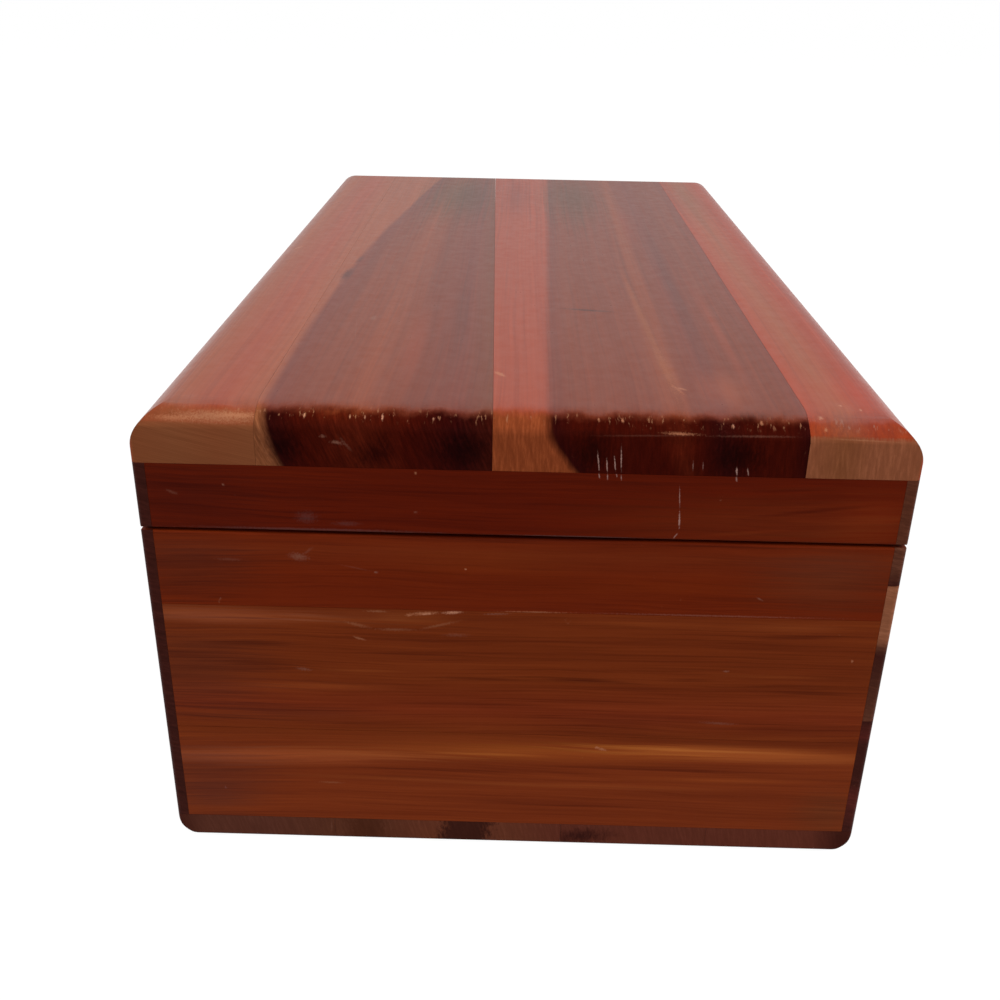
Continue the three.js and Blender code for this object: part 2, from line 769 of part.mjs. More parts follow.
function addLock() {
  const lock = addGroup(body, 0, -wallInside, bodyTop);
  addFitting(lock, 'lock_case', lockCase(), brass);
  addFitting(lock, 'lock_cover', lockCover(), brass);
  addFitting(lock, 'lock_bolt', lockBolt(), steel);
  addFitting(lock, 'lock_spring', lockSpring(), steel);
  addFitting(lock, 'keyhole_liner', keyholeLiner(), brass);
  lockScrewPlaces().forEach((place, i) => {
    addFitting(lock, `lock_screw_${i + 1}`, flatScrew(lockScrew), brass, place);
  });
}

function addStrike() {
  const strike = addGroup(lid, 0, -wallInside - hingeY, rimBottom - seamMiddle);
  addFitting(strike, 'strike_plate', strikePlate(), brass);
  strikeScrewPlaces().forEach((place, i) => {
    addFitting(strike, `strike_screw_${i + 1}`, flatScrew(lockScrew), brass, place);
  });
}

addBottom();
addWalls();
addLidBoards();
hinges.forEach(addHinge);
addStay();
addLock();
addStrike();

export default chest;
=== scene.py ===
"""Looks of a miniature hope chest: lacquered red cedar boards, aged brass and steel.

Metres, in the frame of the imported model: +X is the photographed end, the front looks
along -Y and +Z is up. Inside the materials, lengths are in millimetres.
"""

import math
from collections import namedtuple
from typing import NamedTuple

import bpy
from mathutils import Matrix, Vector


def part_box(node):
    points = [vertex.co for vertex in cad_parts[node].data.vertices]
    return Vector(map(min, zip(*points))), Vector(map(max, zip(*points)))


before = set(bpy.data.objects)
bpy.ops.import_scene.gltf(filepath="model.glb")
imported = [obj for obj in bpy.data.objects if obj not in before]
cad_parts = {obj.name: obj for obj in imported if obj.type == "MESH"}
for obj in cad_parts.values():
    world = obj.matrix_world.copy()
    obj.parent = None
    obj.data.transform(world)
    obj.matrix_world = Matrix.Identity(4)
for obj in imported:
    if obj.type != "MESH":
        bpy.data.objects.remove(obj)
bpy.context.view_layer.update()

MM = 0.001
LOW, HIGH = 0, 1
X, Y, Z = 0, 1, 2


# The chest's own measures, in millimetres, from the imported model


def millimetres(node, corner, axis):
    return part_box(node)[corner][axis] / MM


def levels(node):
    return millimetres(node, LOW, Z), millimetres(node, HIGH, Z)


def sides(node):
    return millimetres(node, LOW, Y), millimetres(node, HIGH, Y)


HALF_LENGTH = millimetres("lid_top_board_1", HIGH, X)
HEIGHT = millimetres("lid_top_board_2", HIGH, Z)
RIM_TOP = millimetres("lid_top_board_2", LOW, Z)
WALL_INSIDE = millimetres("back_wall_lower", LOW, Y)
END_INSIDE = millimetres("right_end_lower", LOW, X)
FLOOR_INSIDE = millimetres("bottom_board_1", HIGH, Z)

# The rounds of the lid's ends are worn along a line this far in from each end. Chips lie along
# it, thinning out between two distances from it, and none lies deeper than this below the top.
WORN_INSET = 2.4
WORN_DEPTH = 3.0
WORN_LINE = HALF_LENGTH - WORN_INSET
WORN_LEVEL = HEIGHT - WORN_DEPTH
CHIP_SPREAD = (1.8, 0.2)

# The top's film of lacquer fades out between these places beside its edge. The edge lies on the
# worn line, or further out by up to the delay where little end grain shows, and its wandering
# comes from noise times the swing. The film lies level until this far before its edge.
FILM_FADE = (-1.9, 0.6)
FILM_DELAY = 1.2
FILM_LIFT = 3.0
FRINGE_SWING = 4.0

# The bare wood of the inside fades out between these depths behind the inner faces of the walls,
# the floor and the lid's top
INTO_WALL = (0.4, 0.2)
INTO_FLOOR = (-0.3, -0.1)
INTO_TOP = (0.3, 0.1)

# Marks of the top fade in as the surface turns up, and marks of the end between two depths
# behind it
FACING_UP = (0.35, 0.6)
END_DEPTHS = (4.0, 2.5)

# The slanted joint between the second and third top boards
JOINT_NEAR = millimetres("lid_top_board_2", HIGH, Y)
JOINT_FAR = millimetres("lid_top_board_3", LOW, Y)
JOINT_MIDDLE = (JOINT_NEAR + JOINT_FAR) / 2
JOINT_SLOPE = (JOINT_NEAR - JOINT_FAR) / (2 * HALF_LENGTH)

# Wood: the colour of its faces, and of its end grain, which drinks in more finish
Wood = namedtuple("Wood", "face end")

SAP = Wood((0.270, 0.062, 0.024), (0.200, 0.062, 0.024))
SAP_PINK = Wood((0.290, 0.048, 0.018), (0.200, 0.058, 0.022))
SAP_RED = Wood((0.300, 0.036, 0.010), (0.245, 0.076, 0.034))
PINK = Wood((0.295, 0.048, 0.020), (0.220, 0.046, 0.014))
HEART = Wood((0.172, 0.030, 0.011), (0.042, 0.0030, 0.0010))
PURPLE = Wood((0.160, 0.028, 0.014), (0.024, 0.0020, 0.0015))
WARM = Wood((0.215, 0.040, 0.012), (0.060, 0.0060, 0.0020))
OLIVE = Wood((0.150, 0.034, 0.014), (0.036, 0.0040, 0.0020))
UPPER = Wood((0.142, 0.0150, 0.0022), (0.080, 0.012, 0.004))
UPPER_BROWN = Wood((0.152, 0.0200, 0.0040), (0.080, 0.012, 0.004))
WALL = Wood((0.162, 0.0258, 0.0048), (0.085, 0.013, 0.004))
WALL_DARK = Wood((0.125, 0.0150, 0.0030), (0.055, 0.006, 0.003))
WALL_RED = Wood((0.180, 0.0255, 0.0060), (0.090, 0.012, 0.004))
WALL_ORANGE = Wood((0.270, 0.0560, 0.0140), (0.230, 0.070, 0.028))
LOWER = Wood((0.190, 0.0300, 0.0064), (0.090, 0.014, 0.005))
RIM = Wood((0.098, 0.0074, 0.0010), (0.070, 0.010, 0.006))
RIM_BROWN = Wood((0.130, 0.0150, 0.0024), (0.092, 0.026, 0.013))
LIP_DARK = Wood((0.125, 0.0150, 0.0040), (0.042, 0.0084, 0.0055))
LIP_BROWN = Wood((0.140, 0.0200, 0.0050), (0.098, 0.030, 0.016))
LIP_RED = Wood((0.150, 0.0180, 0.0060), (0.085, 0.014, 0.010))
LIP_SAP = Wood((0.270, 0.0620, 0.0220), (0.255, 0.088, 0.042))
FOOT = Wood((0.120, 0.024, 0.012), (0.104, 0.031, 0.016))
FOOT_PURPLE = Wood((0.100, 0.020, 0.012), (0.100, 0.030, 0.018))
FOOT_DARK = Wood((0.080, 0.014, 0.008), (0.050, 0.011, 0.007))
FOOT_RED = Wood((0.150, 0.030, 0.012), (0.116, 0.028, 0.016))
FOOT_PALE = Wood((0.220, 0.050, 0.020), (0.132, 0.036, 0.018))

RAW_TINT = (2.0, 4.6, 8.0)
WORN = (0.34, 0.14, 0.07)
CHIP = (0.46, 0.18, 0.09)
SPARK = (0.56, 0.25, 0.15)
SCRATCH = (0.42, 0.24, 0.20)
DUST = (0.22, 0.090, 0.060)
KNOT = (0.085, 0.016, 0.012)
DARKEN = (0.36, 0.34, 0.42)

# Boards: grain axis, axis across the width, axis through the thickness
ALONG_CHEST_FLAT = (X, Y, Z)
ALONG_CHEST_UPRIGHT = (X, Z, Y)
ACROSS_CHEST_UPRIGHT = (Y, Z, X)

# A mark is an oval on the top, in (x, y), or on the photographed end, in (y, z): its middle, its
# half length and half width, its turn in degrees, its strength, how soft its edge is and whether
# it is painted over the wood or tints it
TOP, END = (X, Y), (Y, Z)
Mark = namedtuple("Mark", "plane middle size turn color strength soft tints")


def paint(plane, middle, size, color, strength=0.8, turn=0.0, soft=0.5):
    return Mark(plane, middle, size, turn, color, strength, soft, False)


def tint(plane, middle, size, color, strength=1.0, turn=0.0, soft=1.0):
    return Mark(plane, middle, size, turn, color, strength, soft, True)


def line(plane, start, stop, half_width, color, strength=0.7, soft=0.8):
    """A thin painted mark from one point to another."""
    run, rise = stop[0] - start[0], stop[1] - start[1]
    middle = ((start[0] + stop[0]) / 2, (start[1] + stop[1]) / 2)
    size = (math.hypot(run, rise) / 2, half_width)
    turn = math.degrees(math.atan2(rise, run))
    return Mark(plane, middle, size, turn, color, strength, soft, False)


class Board(NamedTuple):
    """How a board is coloured."""

    axes: tuple

    # Pairs of a share of the board's width and a wood
    stripes: list

    # The lines of share 0 and 1 at the middle of the length, how they run, how the low one bends
    # along the board and how it bends through the thickness
    low: float
    high: float
    slopes: tuple = (0.0, 0.0)
    bow: float = 0.0
    curl: float = 0.0

    # How strong the streaks of the faces are, how far those of the end grain lean and how strong
    # they are
    contrast: float = 1.0
    slant: float = 0.25
    end_contrast: float = 0.6

    # How far end grain shows in the worn round
    fray: float = 0.5

    # Below 1 it draws the grain out along the board
    fibre: float = 1.0

    marks: tuple = ()


# Share 0 of a board's width lies here on its colour ramp, and share 1 at the ramp's end, so that
# a stripe can begin before share 0
RAMP_START = 0.2
RAMP_SPAN = 0.8

# Noise is read this far apart for each board, so that no two have the same grain
SEED_STEP = 11.0

# The films of old lacquer: how much they mirror, and how milky the top's is at a grazing angle,
# a little more so towards the photographed end
TOP_FILM_IOR = 1.15
WALL_FILM_IOR = 1.1
HAZE = 0.25
HAZE_SLOPE = 0.0003
HAZE_SPREAD = 0.3

# How deep the grain's relief is, and how much of it shows on walls and through the top's film
RELIEF_DEPTH = 0.05 * MM
WALL_RELIEF = 0.25
TOP_RELIEF = 0.12


class Graph:
    """A material's nodes. Each method adds a node and returns its output."""

    def __init__(self, name):
        self.material = bpy.data.materials.new(name)
        self.material.use_nodes = True
        self.tree = self.material.node_tree
        self.tree.nodes.clear()

    def feed(self, socket, value):
        if isinstance(value, bpy.types.NodeSocket):
            self.tree.links.new(value, socket)
        elif isinstance(value, tuple) and len(value) == 3 and socket.type == "RGBA":
            socket.default_value = (*value, 1)
        else:
            socket.default_value = value

    def add(self, kind, inputs, output=0, **settings):
        node = self.tree.nodes.new(kind)
        for key, value in settings.items():
            setattr(node, key, value)
        for socket, value in inputs.items():
            self.feed(node.inputs[socket], value)
        return node.outputs[output]

    def math(self, operation, *values):
        return self.add("ShaderNodeMath", dict(enumerate(values)), operation=operation)

    def plus(self, a, b):
        return self.math("ADD", a, b)

    def times(self, a, b):
        return self.math("MULTIPLY", a, b)

    def scaled(self, value, factor, offset=0.0):
        return self.math("MULTIPLY_ADD", value, factor, offset)

    def away(self, value, middle):
        """How far a value lies from the middle, without its sign."""
        return self.math("ABSOLUTE", self.plus(value, -middle))

    def step(self, value, start, end, level=1.0):
        """A smooth step from 0 at start to the level at end; start may be the larger."""
        inputs = {"Value": value, "From Min": min(start, end), "From Max": max(start, end)}
        inputs["To Min"], inputs["To Max"] = (0.0, level) if start < end else (level, 0.0)
        return self.add("ShaderNodeMapRange", inputs, interpolation_type="SMOOTHSTEP")

    def vector(self, x, y, z):
        return self.add("ShaderNodeCombineXYZ", {0: x, 1: y, 2: z})

    def parts(self, vector):
        node = self.tree.nodes.new("ShaderNodeSeparateXYZ")
        self.tree.links.new(vector, node.inputs[0])
        return list(node.outputs)

    def noise(self, axes, rates, seed, detail=2.0, roughness=0.5):
        """Noise with the given cycles for each millimetre along three axes."""
        place = self.vector(*(self.scaled(axis, rate, seed) for axis, rate in zip(axes, rates)))
        inputs = {"Vector": place, "Scale": 1.0, "Detail": detail, "Roughness": roughness}
        return self.add("ShaderNodeTexNoise", inputs)

    def ramp(self, factor, stops):
        node = self.tree.nodes.new("ShaderNodeValToRGB")
        elements = node.color_ramp.elements
        while len(elements) < len(stops):
            elements.new(1.0)
        for element, (place, color) in zip(elements, stops):
            element.position = place
            element.color = (*color, 1)
        self.tree.links.new(factor, node.inputs[0])
        return node.outputs[0]

    def blend(self, factor, a, b, kind="MIX"):
        inputs = {0: factor, 6: a, 7: b}
        return self.add("ShaderNodeMix", inputs, 2, data_type="RGBA", blend_type=kind)

    def bump(self, height, distance, strength, normal=None):
        inputs = {"Height": height, "Distance": distance, "Strength": strength}
        if normal is not None:
            inputs["Normal"] = normal
        return self.add("ShaderNodeBump", inputs)

    def surface(self, **values):
        node = self.tree.nodes.new("ShaderNodeBsdfPrincipled")
        for name, value in values.items():
            self.feed(node.inputs[name.replace("_", " ")], value)
        self.output(node.outputs[0])
        return self.material

    def output(self, shader):
        node = self.tree.nodes.new("ShaderNodeOutputMaterial")
        self.tree.links.new(shader, node.inputs[0])

    def object_space(self):
        """The place on the part, in millimetres, and the direction that the surface faces."""
        node = self.tree.nodes.new("ShaderNodeTexCoord")
        inputs = {0: node.outputs["Object"], "Scale": 1 / MM}
        place = self.add("ShaderNodeVectorMath", inputs, operation="SCALE")
        return self.parts(place), self.parts(node.outputs["Normal"])


class Timber(Graph):
    """The nodes of one board: its stripes, its grain, its wear and its marks."""

    def __init__(self, name, spec, seed):
        super().__init__(name)
        self.spec = spec
        self.seed = seed
        self.is_flat = spec.axes is ALONG_CHEST_FLAT
        self.place, self.facing = self.object_space()
        self.along, self.across, self.deep = (self.place[axis] for axis in spec.axes)
        self.end_on = self.math("ABSOLUTE", self.facing[spec.axes[0]])
        lengthwise = (self.along, self.across, self.deep)
        wander = self.noise(lengthwise, (0.009, 0.03, 0.03), seed, 1.0)
        ripple = self.noise(lengthwise, (0.035 * spec.fibre, 0.16, 0.16), seed, 2.0)
        self.ripple = self.scaled(ripple, 2.0, -1.0)
        sway = self.plus(self.scaled(wander, 5.0, -2.5), self.ripple)
        self.grain = (self.along, self.plus(self.across, sway), self.deep)
        self.streaks = self.noise(self.grain, (0.02 * spec.fibre, 0.42, 0.4), seed, 4.0, 0.6)
        self.lines = self.noise(self.grain, (0.04 * spec.fibre, 1.9, 0.9), seed + 3, 4.0, 0.65)
        self.threads = self.noise(self.grain, (0.12 * spec.fibre, 6.0, 6.0), seed + 7, 2.0, 0.6)
        self.specks = self.noise(self.place, (0.5, 1.6, 0.5), seed, 3.0, 0.65)
        self.grit = self.noise(self.place, (3.0, 3.0, 3.0), seed, 3.0, 0.7)
        self.blotches = self.noise(self.place, (0.3, 0.3, 0.3), seed, 3.0, 0.7)

    def stripe_colors(self):
        """The woods across the board's width, on its faces and in its end grain."""
        spec = self.spec
        low = self.scaled(self.along, self.scaled(self.along, spec.bow, spec.slopes[0]), spec.low)
        high = self.scaled(self.along, spec.slopes[1], spec.high)
        if spec.curl:
            sag = self.math("MAXIMUM", self.scaled(self.deep, -1.0, HEIGHT), 0.0)
            low = self.plus(low, self.times(self.times(sag, sag), spec.curl))
        low = self.plus(low, self.times(self.ripple, 0.8))
        width = self.math("SUBTRACT", high, low)
        share = self.math("DIVIDE", self.math("SUBTRACT", self.across, low), width)
        share = self.scaled(share, RAMP_SPAN, RAMP_START)
        face = self.ramp(share, [(place, wood.face) for place, wood in spec.stripes])
        end = self.ramp(share, [(place, wood.end) for place, wood in spec.stripes])
        return face, end

    def figured(self, color):
        """The streaks, lines and threads of a face, all stretched along the grain."""
        tone = self.ramp(self.streaks, [
            (0.28, (0.62, 0.50, 0.54)), (0.5, (1.0, 1.0, 1.0)), (0.72, (1.26, 1.40, 1.40)),
        ])
        fine = self.ramp(self.lines, [
            (0.30, (0.58, 0.50, 0.50)), (0.5, (1.0, 1.0, 1.0)), (0.72, (1.26, 1.34, 1.36)),
        ])
        thread = self.ramp(self.threads, [(0.25, (0.86, 0.84, 0.84)), (0.75, (1.12, 1.15, 1.16))])
        color = self.blend(0.7 * self.spec.contrast, color, tone, "MULTIPLY")
        color = self.blend(0.8 * self.spec.contrast, color, fine, "MULTIPLY")
        return self.blend(0.6, color, thread, "MULTIPLY")

    def sawn(self, color):
        """End grain, with the streaks that sawing and sanding left across it."""
        lean = self.plus(self.across, self.times(self.deep, self.spec.slant))
        self.cuts = self.noise((lean, self.deep, self.along), (2.2, 0.3, 0.3), self.seed, 4.0, 0.7)
        tone = self.ramp(self.cuts, [
            (0.30, (0.45, 0.40, 0.40)), (0.5, (1.0, 1.0, 1.0)), (0.74, (2.1, 2.4, 2.6)),
        ])
        return self.blend(self.spec.end_contrast, color, tone, "MULTIPLY")

    def end_share(self):
        """1 where the surface is end grain. At the lid's ends it frays up over the round."""
        level = self.plus(self.end_on, self.scaled(self.cuts, 0.4, -0.2))
        if not self.is_flat:
            return self.step(level, 0.08, 0.40)
        crosswise = (self.across, self.along, self.deep)
        fringe = self.noise(crosswise, (0.25, 0.10, 0.4), self.seed, 5.0, 0.6)
        self.reach = self.plus(
            self.math("ABSOLUTE", self.along), self.scaled(fringe, FRINGE_SWING, -FRINGE_SWING / 2)
        )
        self.film_edge = WORN_LINE + FILM_DELAY * (1 - self.spec.fray)
        start, end = (self.film_edge + offset for offset in FILM_FADE)
        self.frayed = self.step(self.reach, start, end)
        cut = self.step(level, 0.70, 0.95)
        return self.math("MAXIMUM", cut, self.times(self.frayed, self.spec.fray))

    def film_normal(self):
        """Up to the worn round the film of lacquer lies as if the lid were level all the way."""
        worn = self.step(self.reach, self.film_edge - FILM_LIFT, self.film_edge)
        facing = self.vector(self.times(self.facing[X], worn), self.facing[Y], self.facing[Z])
        return self.add(
            "ShaderNodeVectorTransform", {0: facing},
            vector_type="NORMAL", convert_from="OBJECT", convert_to="WORLD",
        )

    def chipped(self, color):
        """Pale flecks, most of them along the worn rounds of the lid's ends."""
        from_line = self.away(self.math("ABSOLUTE", self.place[X]), WORN_LINE)
        on_round = self.step(self.place[Z], WORN_LEVEL, WORN_LEVEL + 1)
        near_line = self.times(self.step(from_line, *CHIP_SPREAD), on_round)
        self.chips = self.times(self.step(self.specks, 0.59, 0.68), near_line)
        color = self.blend(self.times(self.chips, 0.6), color, WORN)
        return self.blend(self.step(self.blotches, 0.72, 0.80, 0.3), color, WORN)

    def marked(self, color):
        """The marks that the photograph shows on this board, each with a ragged edge."""
        gritty = self.scaled(self.grit, 1.8, -0.9)
        fibrous = self.scaled(self.lines, 1.4, -0.7)
        start, end = (HALF_LENGTH - depth for depth in END_DEPTHS)
        shown = {
            TOP: self.step(self.facing[Z], *FACING_UP),
            END: self.step(self.place[X], start, end),
        }
        for mark in self.spec.marks:
            first, second = mark.plane
            inputs = {
                "Vector": self.vector(self.place[first], self.place[second], 0.0),
                "Location": (*mark.middle, 0), "Rotation": (0, 0, math.radians(mark.turn)),
                "Scale": (*mark.size, 1),
            }
            oval = self.add("ShaderNodeMapping", inputs, vector_type="TEXTURE")
            distance = self.add("ShaderNodeVectorMath", {0: oval}, "Value", operation="LENGTH")
            distance = self.plus(distance, fibrous if mark.tints else gritty)
            mask = self.step(distance, 1.0, 1.0 - mark.soft, mark.strength)
            mask = self.times(mask, shown[mark.plane])
            color = self.blend(mask, color, mark.color, "MULTIPLY" if mark.tints else "MIX")
        return color

    def within(self, value, face, depths):
        """1 on the chest's inner side of a face, fading to 0 between two depths behind it."""
        far, near = depths
        return self.step(value, face + far, face + near)

    def bare_inside(self, color):
        """The inside of the chest was never lacquered."""
        rooms = [
            self.within(self.math("ABSOLUTE", self.place[Y]), WALL_INSIDE, INTO_WALL),
            self.within(self.math("ABSOLUTE", self.place[X]), END_INSIDE, INTO_WALL),
            self.within(self.place[Z], FLOOR_INSIDE, INTO_FLOOR),
            self.within(self.place[Z], RIM_TOP, INTO_TOP),
        ]
        self.bare = rooms[0]
        for room in rooms[1:]:
            self.bare = self.times(self.bare, room)
        raw = self.blend(1.0, color, RAW_TINT, "MULTIPLY")
        return self.blend(self.bare, color, raw)

    def finish(self, color, end_share):
        """Lacquer: glossier on the faces, and matt where it is chipped or was never put on."""
        gloss = self.scaled(self.blotches, 0.3, 0.2)
        gloss = self.plus(gloss, self.scaled(self.threads, 0.12, -0.06))
        gloss = self.plus(gloss, self.times(end_share, 0.08))
        gloss = self.plus(gloss, self.times(self.bare, 0.35))
        height = self.plus(self.times(self.threads, 0.5), self.times(self.lines, 0.5))
        height = self.plus(height, self.times(self.chips, -0.8))
        if not self.is_flat:
            normal = self.bump(height, RELIEF_DEPTH, WALL_RELIEF)
            return self.surface(Base_Color=color, Roughness=gloss, Normal=normal, IOR=WALL_FILM_IOR)
        haze_and_sheen = self.scaled(self.place[X], HAZE_SLOPE, HAZE)
        return self.surface(
            Base_Color=color, Roughness=gloss, IOR=TOP_FILM_IOR,
            Normal=self.bump(height, RELIEF_DEPTH, TOP_RELIEF, self.film_normal()),
            Specular_IOR_Level=self.scaled(self.frayed, -0.4, 0.5),
            Sheen_Weight=self.times(haze_and_sheen, self.scaled(self.frayed, -1.0, 1.0)),
            Sheen_Roughness=HAZE_SPREAD,
        )


def cedar(name, spec, seed):
    """Lacquered red cedar, coloured through its thickness."""
    wood = Timber(name, spec, seed)
    face, end = wood.stripe_colors()
    face = wood.figured(face)
    end = wood.sawn(end)
    end_share = wood.end_share()
    color = wood.blend(end_share, face, end)
    color = wood.chipped(color)
    color = wood.marked(color)
    color = wood.bare_inside(color)
    return wood.finish(color, end_share)


def metal(name, color, tarnish, roughness, seed):
    """Metal with a cloudy tarnish and fine scratches."""
    graph = Graph(name)
    place, _ = graph.object_space()
    cloud = graph.noise(place, (0.35, 0.35, 0.35), seed, 4.0, 0.65)
    hair = graph.noise(place, (0.4, 7.0, 7.0), seed, 2.0)
    shade = graph.ramp(cloud, [(0.35, tarnish), (0.62, color)])
    gloss = graph.scaled(cloud, -0.35, roughness + 0.2)
    gloss = graph.plus(gloss, graph.scaled(hair, 0.12, -0.06))
    relief = graph.bump(hair, 0.00002, 0.3)
    return graph.surface(Base_Color=shade, Roughness=gloss, Normal=relief, Metallic=1.0)


# The boards


def stripes(*pairs):
    return [(RAMP_START + RAMP_SPAN * share, wood) for share, wood in pairs]


def flat(node, tones, **settings):
    low, high = sides(node)
    values = {"low": low, "high": high, **settings}
    return node, Board(axes=ALONG_CHEST_FLAT, stripes=stripes(*tones), **values)


def upright(node, axes, tones, **settings):
    low, high = levels(node)
    return node, Board(axes=axes, stripes=stripes(*tones), low=low, high=high, **settings)


def lid_board(node, tones, **settings):
    """A board of the lid's top, where the film of lacquer mutes the grain."""
    return flat(node, tones, contrast=0.4, fibre=0.25, **settings)


def end_board(node, tones, **settings):
    return upright(node, ACROSS_CHEST_UPRIGHT, tones, **settings)


def side_board(node, tones, **settings):
    return upright(node, ALONG_CHEST_UPRIGHT, tones, **settings)


def foot_board(node, tones, **settings):
    return flat(node, tones, end_contrast=0.2, **settings)


def lid_boards():
    """The four boards of the lid's top, sapwood at both sides and heartwood between."""
    yield lid_board(
        "lid_top_board_1", [(0, SAP_PINK), (0.35, SAP), (0.7, SAP_PINK), (1, SAP)],
        slant=4.0, end_contrast=0.25,
        marks=[
            paint(TOP, (1, -56.6), (3.0, 0.4), CHIP, 0.5, turn=-30),
            paint(TOP, (-15, -58.0), (2.5, 0.3), CHIP, 0.3),
            # A pale band low on the round: partly wear, partly a painted highlight above the ridge
            paint(TOP, (112.8, -49), (1.5, 10), (0.40, 0.18, 0.095), 0.6, soft=1.0),
            paint(TOP, (112.6, -46), (0.6, 5), CHIP, 0.5, soft=0.9),
            paint(TOP, (113.2, -56), (0.6, 5), CHIP, 0.4, soft=0.9),
        ],
    )
    yield lid_board(
        "lid_top_board_2",
        [
            (-0.03, SAP), (0.01, PURPLE), (0.14, HEART), (0.4, WARM), (0.62, HEART),
            (0.85, PURPLE), (1, OLIVE),
        ],
        low=-38.6, high=JOINT_MIDDLE, slopes=(-0.0663, JOINT_SLOPE), bow=0.000364, curl=0.03,
        slant=0.45, end_contrast=0.6, fray=1.0,
        marks=[
            paint(TOP, (26.5, -40.6), (8.0, 1.6), KNOT, 0.85, turn=-3, soft=0.9),
            paint(TOP, (12.0, -39.6), (5.0, 1.0), KNOT, 0.6, turn=-4, soft=0.9),
            paint(TOP, (61.6, -30.3), (2.5, 0.9), DUST, 0.5, soft=0.9),
            line(TOP, (58, -34.1), (80, -31.6), 0.15, DUST, 0.3),
            tint(TOP, (60, -13.0), (45, 2.4), (0.88, 0.92, 0.96), turn=0.5),
            tint(TOP, (78, -20.5), (35, 3.0), (1.25, 1.2, 1.15)),
            tint(TOP, (-75, -20.0), (60, 16), (0.56, 0.92, 1.0)),
            paint(TOP, (112.4, -35.3), (0.6, 0.22), SPARK, 0.8, soft=0.9),
            paint(TOP, (112.4, -28.0), (0.5, 0.20), SPARK, 0.5, soft=0.9),
            paint(TOP, (112.5, -25.6), (0.5, 0.20), SPARK, 0.5, soft=0.9),
            paint(TOP, (112.4, -22.8), (0.7, 0.25), SPARK, 0.9, soft=0.9),
            paint(TOP, (112.5, -14.7), (0.4, 0.22), SPARK, 0.6, soft=0.9),
            paint(END, (-30.0, 81.2), (1.3, 0.45), DUST, 0.7, turn=-8, soft=1.0),
            paint(END, (-32.2, 82.2), (0.7, 0.4), DUST, 0.5, soft=0.9),
            line(END, (-29.8, 82.5), (-27.4, 79.4), 0.35, DUST, 0.3, soft=1.0),
            tint(TOP, (112.2, -31.0), (1.5, 7), (1.6, 1.8, 1.5)),
            tint(END, (-24.0, 79.5), (3.5, 5.0), (0.45, 0.4, 0.5), turn=-55),
            tint(END, (-38.5, 80.5), (4.5, 4.5), (0.4, 0.4, 0.5)),
            tint(END, (-10.0, 80.5), (7, 4.5), (0.4, 0.4, 0.5)),
        ],
    )
    yield lid_board(
        "lid_top_board_3",
        [
            (-0.02, PINK), (0.02, PURPLE), (0.1, HEART), (0.42, HEART), (0.5, WARM),
            (0.56, HEART), (0.66, PURPLE), (0.78, HEART), (0.93, HEART), (1, PURPLE),
        ],
        low=5.5, slopes=(-0.018, 0.0), curl=0.055,
        slant=0.05, end_contrast=0.45, fray=1.0,
        marks=[
            paint(TOP, (60, 23.7), (58, 1.1), (0.28, 0.075, 0.024), 0.5, turn=1.6, soft=1.0),
            paint(TOP, (90, 24.8), (19, 1.7), (0.30, 0.078, 0.024), 0.5, turn=2.0, soft=1.0),
            paint(TOP, (30, 32.7), (95, 2.3), (0.105, 0.024, 0.017), 0.5, turn=-0.7, soft=1.0),
            tint(TOP, (60, 37.4), (60, 1.6), (1.25, 1.2, 1.2), turn=1.0),
            tint(TOP, (-35, 28.0), (40, 2.0), (1.15, 0.95, 0.9)),
            tint(TOP, (100, 33), (14, 6), (1.4, 1.6, 1.5)),
            tint(TOP, (111.0, 36), (2.0, 5), (0.6, 0.55, 0.5)),
            line(TOP, (51.3, 5.6), (53.6, 20), 0.9, (0.035, 0.009, 0.007), 0.85, soft=1.0),
            tint(TOP, (-75, 14), (60, 14), (0.66, 1.0, 1.0)),
            tint(TOP, (-75, -2), (50, 7), (0.76, 0.70, 0.76)),
            paint(TOP, (94.2, -4.5), (1.8, 0.7), CHIP, 0.5, turn=35),
            # Along the ridge of the round: partly wear, partly a painted highlight of the arris
            line(END, (7.4, 83.2), (30, 83.7), 0.20, DUST, 0.15, soft=1.0),
            line(END, (20.5, 83.9), (28.5, 83.75), 0.28, CHIP, 0.6, soft=1.0),
            line(END, (27, 83.6), (45, 83.8), 0.24, DUST, 0.3, soft=1.0),
            paint(TOP, (112.0, 11.6), (0.5, 0.25), CHIP, 0.7, soft=0.9),
            paint(TOP, (112.0, 15.4), (0.6, 0.30), CHIP, 0.8, soft=0.9),
            paint(TOP, (111.9, 37.4), (0.6, 0.40), CHIP, 0.6, soft=0.9),
            paint(TOP, (112.6, 32.9), (0.5, 0.25), SPARK, 0.7, soft=0.9),
            line(TOP, (96.8, 24.4), (103.5, 26.6), 0.5, (0.40, 0.14, 0.07), 0.4, soft=1.0),
            paint(TOP, (99.8, 26.2), (1.5, 0.5), CHIP, 0.5, turn=50, soft=0.9),
            tint(END, (24.4, 81.4), (4.5, 2.6), (1.35, 1.3, 1.3)),
            tint(END, (10.5, 80.5), (4.5, 5), (0.4, 0.45, 0.6)),
            tint(END, (34, 80.5), (6, 4.5), (0.38, 0.40, 0.5)),
            line(END, (11.5, 80.9), (12.0, 76.9), 0.16, SCRATCH, 0.7),
            line(END, (13.0, 79.8), (13.3, 76.9), 0.15, SCRATCH, 0.7),
            line(END, (14.2, 80.2), (14.6, 77.0), 0.15, SCRATCH, 0.75),
            line(END, (15.2, 82.2), (15.5, 76.9), 0.14, SCRATCH, 0.75),
            line(END, (33.8, 78.7), (34.0, 76.9), 0.20, SCRATCH, 0.8),
            line(END, (35.5, 78.6), (35.9, 76.9), 0.14, SCRATCH, 0.6),
            line(END, (26.8, 79.6), (26.9, 77.4), 0.14, SCRATCH, 0.3),
            line(END, (28.4, 79.4), (28.5, 77.6), 0.14, SCRATCH, 0.3),
        ],
    )
